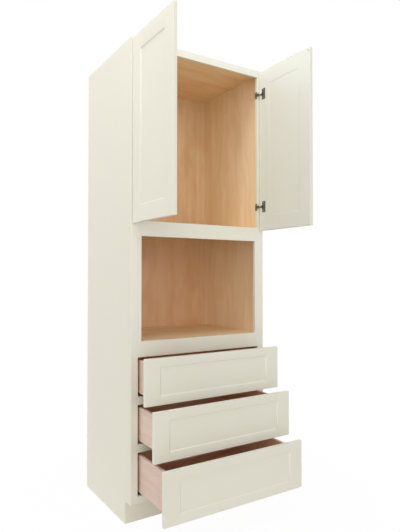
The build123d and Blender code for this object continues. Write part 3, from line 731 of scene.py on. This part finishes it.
def screw_mesh(radius, shank, head, reach, flat):
    """Screw with a cross recess that stands on its seat at the origin, with its head up."""
    shape = bmesh.new()
    crown = radius if flat else radius * CROWN_WIDTH
    bmesh.ops.create_circle(shape, cap_ends=True, radius=crown, segments=SCREW_SIDES)
    bmesh.ops.translate(shape, verts=shape.verts, vec=(0, 0, head))
    rim = sink_cross(shape, radius, head)
    if flat:
        turns = [(radius, FLAT_SIDE_HEIGHT * head)]
    else:
        shoulder = (radius * SHOULDER_WIDTH, SHOULDER_HEIGHT * head)
        turns = [shoulder, (radius, SIDE_HEIGHT * head), (radius, 0.0)]
    turns += [(shank, 0.0), (shank, shank - reach), (shank * TIP_WIDTH, -reach)]
    wide, level = crown, head
    for next_wide, next_level in turns:
        grown = bmesh.ops.extrude_edge_only(shape, edges=rim)
        corners = corners_in(grown)
        rim = [part for part in grown["geom"] if isinstance(part, bmesh.types.BMEdge)]
        rim = [edge for edge in rim if all(corner in corners for corner in edge.verts)]
        bmesh.ops.scale(shape, verts=corners, vec=(next_wide / wide, next_wide / wide, 1))
        bmesh.ops.translate(shape, verts=corners, vec=(0, 0, next_level - level))
        wide, level = next_wide, next_level
    bmesh.ops.contextual_create(shape, geom=rim)
    bmesh.ops.recalc_face_normals(shape, faces=shape.faces)
    for edge in shape.edges:
        edge.smooth = edge.calc_face_angle() < SCREW_CREASE
    mesh = bpy.data.meshes.new("screw")
    shape.to_mesh(mesh)
    shape.free()
    return mesh


def place_screws(node):
    """Screws with a cross recess in the place of a CAD node's plain ones."""
    plain = copy_of(node)
    shape = bmesh.new()
    for part in loose_parts(plain):
        seat, out, *sizes = measure_screw(part)
        screw = screw_mesh(*sizes)
        before = len(shape.verts)
        shape.from_mesh(screw)
        bpy.data.meshes.remove(screw)
        shape.verts.ensure_lookup_table()
        turn = out.to_track_quat("Z", "Y").to_matrix().to_4x4()
        bmesh.ops.transform(shape, matrix=Matrix.Translation(seat) @ turn, verts=shape.verts[before:])
    plain.free()
    place_piece(shape, node, ["zinc_steel"])


def side_panel_face(inward):
    """A chooser for a side panel: paint outside, veneer inside, bare wood at the back, top and foot."""
    def choose(face):
        if face.normal.x * inward > FACING:
            return 1
        return 2 if face.normal.y > FACING or abs(face.normal.z) > FACING else 0
    return choose


def box_face(middle):
    """A chooser for a drawer box round its middle: on the faces that look in, a lining painted paler and
    warmer to make up for the shade inside; wood elsewhere.
    """
    def choose(face):
        across = face.calc_center_median() - middle
        if face.normal.z > FACING:
            return 1 if across.z < 0 else 0
        return 1 if face.normal.x * across.x < 0 or face.normal.y * across.y < 0 else 0
    return choose


def runner_face(runners):
    """A chooser for runners: nylon on the catches at their front ends, steel elsewhere."""
    catches_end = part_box(runners)[0][1] + CATCH_LENGTH + SLACK
    return lambda face: 1 if max(corner.co.y for corner in face.verts) < catches_end else 0


# Operators

class OBJECT_OT_cabinet_case(bpy.types.Operator):
    """Plywood case: painted outside, maple veneer inside, bare at the back, on top and below"""

    bl_idname = "object.cabinet_case"
    bl_label = "Case"

    def execute(self, context):
        width = context.scene.cabinet_sizes.board_edge
        sides = ["satin_cream_paint", "maple_veneer_sides_brightened", "raw_plywood_upright"]
        upright = ["maple_veneer_back_bay_shaded", "raw_plywood_upright"]
        level = ["maple_veneer_level", "raw_plywood_level"]
        dress("side_panel_left", sides, width, side_panel_face(1))
        dress("side_panel_right", sides, width, side_panel_face(-1))
        dress("back_panel", upright, width, facing((0, -1, 0), 0, 1))
        dress("top_panel", level, width, facing((0, 0, -1), 0, 1))
        for node in ("upper_deck", "oven_deck", "bottom_panel"):
            dress(node, level, width, facing((0, 0, 1), 0, 1))
        dress("oven_deck_cleats", ["raw_plywood_level"], width)
        dress("toe_board", ["satin_cream_paint"], width)
        return {"FINISHED"}


class OBJECT_OT_cabinet_face_frame(bpy.types.Operator):
    """Painted face frame with its bare rear faces"""

    bl_idname = "object.cabinet_face_frame"
    bl_label = "Face frame"

    def execute(self, context):
        width = context.scene.cabinet_sizes.board_edge
        finishes = ["satin_cream_paint", "raw_plywood_upright"]
        parts = ("stiles", "top_rail", "oven_head", "oven_sill", "drawer_rails")
        for node in [f"frame_{part}" for part in parts] + ["oven_fillers"]:
            dress(node, finishes, width, facing((0, 1, 0)))
        return {"FINISHED"}


class OBJECT_OT_cabinet_doors(bpy.types.Operator):
    """Two painted five-piece doors, which stand open"""

    bl_idname = "object.cabinet_doors"
    bl_label = "Doors"

    def execute(self, context):
        dress_front("door_left", (1, 0, 0))
        dress_front("door_right", (-1, 0, 0))
        return {"FINISHED"}


class OBJECT_OT_cabinet_drawer_fronts(bpy.types.Operator):
    """Three painted five-piece drawer fronts"""

    bl_idname = "object.cabinet_drawer_fronts"
    bl_label = "Drawer fronts"

    def execute(self, context):
        for level in LEVELS:
            dress_front(f"drawer_{level}_front", (0, 1, 0))
        return {"FINISHED"}


class OBJECT_OT_cabinet_drawer_boxes(bpy.types.Operator):
    """Three lacquered plywood drawer boxes"""

    bl_idname = "object.cabinet_drawer_boxes"
    bl_label = "Drawer boxes"

    def execute(self, context):
        width = context.scene.cabinet_sizes.board_edge
        lengthwise = ["box_wood_lengthwise", "brightened_lining_lengthwise"]
        crosswise = ["box_wood_crosswise", "brightened_lining_crosswise"]
        for level in LEVELS:
            box = f"drawer_{level}_box"
            low, high = whole_box([f"{box}_sides", f"{box}_ends"])
            choose = box_face((low + high) / 2)
            dress(f"{box}_sides", lengthwise, width, choose)
            dress(f"{box}_ends", crosswise, width, choose)
            dress(f"{box}_floor", crosswise, width / 2, choose)
        return {"FINISHED"}


class OBJECT_OT_cabinet_hinges(bpy.types.Operator):
    """Hinges of the doors, dull grey with painted dark reflections"""

    bl_idname = "object.cabinet_hinges"
    bl_label = "Hinges"

    def execute(self, context):
        width = context.scene.cabinet_sizes.metal_edge
        dress("hinge_arms", ["steel_grey_painted_reflections"], width)
        for side in SIDES:
            dress(f"door_{side}_hinge_cups", ["steel_grey_painted_reflections"], width)
            dress(f"door_{side}_hinge_pins", ["steel_grey_painted_reflections"], width)
        return {"FINISHED"}


class OBJECT_OT_cabinet_slides(bpy.types.Operator):
    """Zinc-plated slides under the drawers, and their nylon sockets and catches"""

    bl_idname = "object.cabinet_slides"
    bl_label = "Slides"

    def execute(self, context):
        width = context.scene.cabinet_sizes.metal_edge
        dress("slide_channels", ["zinc_steel"], width)
        dress("slide_brackets", ["moulded_nylon"], width)
        for level in LEVELS:
            dress(f"slide_links_{level}", ["zinc_steel"], width)
            runners = f"drawer_{level}_runners"
            dress(runners, ["zinc_steel", "moulded_nylon"], width, runner_face(runners))
        return {"FINISHED"}


class OBJECT_OT_cabinet_fasteners(bpy.types.Operator):
    """Wood screws, and the soft bumpers on the doors"""

    bl_idname = "object.cabinet_fasteners"
    bl_label = "Screws and bumpers"

    def execute(self, context):
        width = context.scene.cabinet_sizes.metal_edge
        place_screws("cabinet_screws")
        for side in SIDES:
            place_screws(f"door_{side}_hinge_screws")
            dress(f"door_{side}_bumpers", ["milky_bumper"], width)
        for level in LEVELS:
            place_screws(f"drawer_{level}_front_screws")
        return {"FINISHED"}


def make_floor(settings):
    """Plain floor that shows white to the camera and keeps the cabinet's soft shadow."""
    shape = bmesh.new()
    bmesh.ops.create_grid(shape, x_segments=1, y_segments=1, size=FLOOR_HALF)
    bmesh.ops.translate(shape, verts=shape.verts, vec=(0, 0, FLOOR_LEVEL))
    mesh = bpy.data.meshes.new("floor")
    shape.to_mesh(mesh)
    shape.free()
    matt = {"Base Color": settings.floor, "Roughness": 0.9, "Specular IOR Level": 0.0}
    made, tree, shader = new_material("plain_floor", matt)
    glow = add(tree, "ShaderNodeEmission", inputs={"Color": linear("FFFFFF"), "Strength": 1.0})
    away = add(
        tree,
        "ShaderNodeVectorMath",
        {"operation": "DISTANCE"},
        {0: object_place(tree), 1: FLOOR_MIDDLE},
    ).outputs["Value"]
    # the floor turns fully white away from the cabinet, so that no horizon shows
    white = between(tree, away, FLOOR_WHITE, 1.0, SHADOW_NEAR, SHADOW_FAR)
    amount = add(tree, "ShaderNodeMath", {"operation": "MULTIPLY"}, {0: seen_straight(tree), 1: white})
    both = {0: amount.outputs[0], 1: shader.outputs[0], 2: glow.outputs[0]}
    surface = add(tree, "ShaderNodeMixShader", inputs=both).outputs[0]
    fill(tree, tree.nodes["Material Output"], {"Surface": surface})
    mesh.materials.append(made)
    floor = bpy.data.objects.new("floor", mesh)
    bpy.context.scene.collection.objects.link(floor)


def make_sky(settings):
    """Even grey light from all sides, which shows white to the camera and in metal."""
    world = bpy.data.worlds.new("studio")
    world.use_nodes = True
    tree = world.node_tree
    even = tree.nodes["Background"]
    fill(tree, even, {"Color": linear("FFFFFF"), "Strength": settings.sky})
    white = add(tree, "ShaderNodeBackground", inputs={"Color": linear("FFFFFF"), "Strength": 1.0})
    both = {0: seen_straight(tree), 1: even.outputs[0], 2: white.outputs[0]}
    surface = add(tree, "ShaderNodeMixShader", inputs=both).outputs[0]
    fill(tree, tree.nodes["World Output"], {"Surface": surface})
    bpy.context.scene.world = world


def make_lamp(name, kind, place, target, settings):
    """Soft light of one kind that looks from a place at a point."""
    lamp = bpy.data.lights.new(name, kind)
    for setting, value in settings.items():
        setattr(lamp, setting, value)
    holder = bpy.data.objects.new(name, lamp)
    holder.location = place
    holder.rotation_euler = (Vector(target) - Vector(place)).to_track_quat("-Z", "Y").to_euler()
    bpy.context.scene.collection.objects.link(holder)


def make_camera():
    """The camera that took the photograph."""
    camera = bpy.data.cameras.new("camera")
    camera.sensor_width = CAMERA_SENSOR
    camera.lens = CAMERA_LENS
    holder = bpy.data.objects.new("camera", camera)
    holder.location = CAMERA_PLACE
    holder.rotation_euler = [math.radians(turn) for turn in CAMERA_TURNS]
    bpy.context.scene.collection.objects.link(holder)
    bpy.context.scene.camera = holder


class OBJECT_OT_cabinet_stage(bpy.types.Operator):
    """Floor, even light, five soft lamps and the camera"""

    bl_idname = "object.cabinet_stage"
    bl_label = "Stage"

    def execute(self, context):
        settings = context.scene.cabinet_stage
        make_floor(settings)
        make_sky(settings)
        for name, (place, wide) in WIDE_LIGHTS.items():
            look = {"energy": getattr(settings, name), "angle": math.radians(wide)}
            make_lamp(name, "SUN", place, LIGHT_TARGET, look)
        for name, (place, target, wide) in LAMPS.items():
            look = {"energy": getattr(settings, name), "size": wide}
            make_lamp(name, "AREA", place, target, look)
        make_camera()
        context.scene.view_settings.view_transform = "Standard"
        return {"FINISHED"}


OPERATORS = (
    OBJECT_OT_cabinet_case,
    OBJECT_OT_cabinet_face_frame,
    OBJECT_OT_cabinet_doors,
    OBJECT_OT_cabinet_drawer_fronts,
    OBJECT_OT_cabinet_drawer_boxes,
    OBJECT_OT_cabinet_hinges,
    OBJECT_OT_cabinet_slides,
    OBJECT_OT_cabinet_fasteners,
    OBJECT_OT_cabinet_stage,
)


class VIEW3D_PT_cabinet(bpy.types.Panel):
    """Sidebar panel with one button for each group of pieces"""

    bl_idname = "VIEW3D_PT_cabinet"
    bl_label = "Tall oven cabinet"
    bl_space_type = "VIEW_3D"
    bl_region_type = "UI"
    bl_category = "Cabinet"

    def draw(self, context):
        layout = self.layout
        for group in (
            context.scene.cabinet_sizes,
            context.scene.cabinet_finishes,
            context.scene.cabinet_stage,
        ):
            for name in group.__annotations__:
                layout.prop(group, name)
        for operator in OPERATORS:
            layout.operator(operator.bl_idname)


CLASSES = (CabinetSizes, CabinetFinishes, CabinetStage, *OPERATORS, VIEW3D_PT_cabinet)


def register():
    for kind in CLASSES:
        bpy.utils.register_class(kind)
    bpy.types.Scene.cabinet_sizes = bpy.props.PointerProperty(type=CabinetSizes)
    bpy.types.Scene.cabinet_finishes = bpy.props.PointerProperty(type=CabinetFinishes)
    bpy.types.Scene.cabinet_stage = bpy.props.PointerProperty(type=CabinetStage)


def unregister():
    del bpy.types.Scene.cabinet_stage
    del bpy.types.Scene.cabinet_finishes
    del bpy.types.Scene.cabinet_sizes
    for kind in reversed(CLASSES):
        bpy.utils.unregister_class(kind)


def main():
    register()
    bpy.ops.object.cabinet_case()
    bpy.ops.object.cabinet_face_frame()
    bpy.ops.object.cabinet_doors()
    bpy.ops.object.cabinet_drawer_fronts()
    bpy.ops.object.cabinet_drawer_boxes()
    bpy.ops.object.cabinet_hinges()
    bpy.ops.object.cabinet_slides()
    bpy.ops.object.cabinet_fasteners()
    bpy.ops.object.cabinet_stage()


if __name__ == "__main__":
    main()
